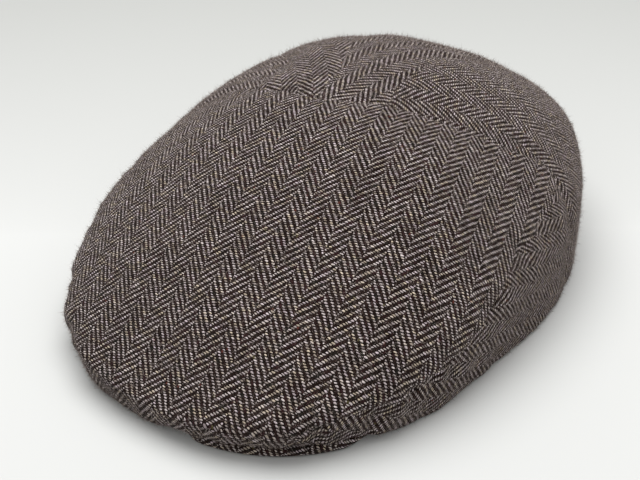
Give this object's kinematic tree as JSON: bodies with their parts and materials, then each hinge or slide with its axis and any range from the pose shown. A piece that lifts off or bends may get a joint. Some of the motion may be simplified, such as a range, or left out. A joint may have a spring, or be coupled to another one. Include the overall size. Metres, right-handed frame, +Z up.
{
  "type": "flat cap",
  "caption": "Soft herringbone tweed flat cap: a deep crown of sewn panels drawn forward over a short stiff peak.",
  "frame": {"origin": "on the surface that the cap rests on, under the middle of its overall length and width", "axes": "+Z up, -Y forwards over the peak, +X towards the wearer's left"},
  "size_m": [0.193, 0.2625, 0.0936],
  "materials": {
    "tweed": "napped wool herringbone twill"
  },
  "bodies": {
    "root": {"front_panel": "tweed", "side_panel_left": "tweed", "side_panel_right": "tweed", "back_panel_left_outer": "tweed", "back_panel_left_inner": "tweed", "back_panel_right_inner": "tweed", "back_panel_right_outer": "tweed", "peak": "tweed"}
  },
  "joints": []
}
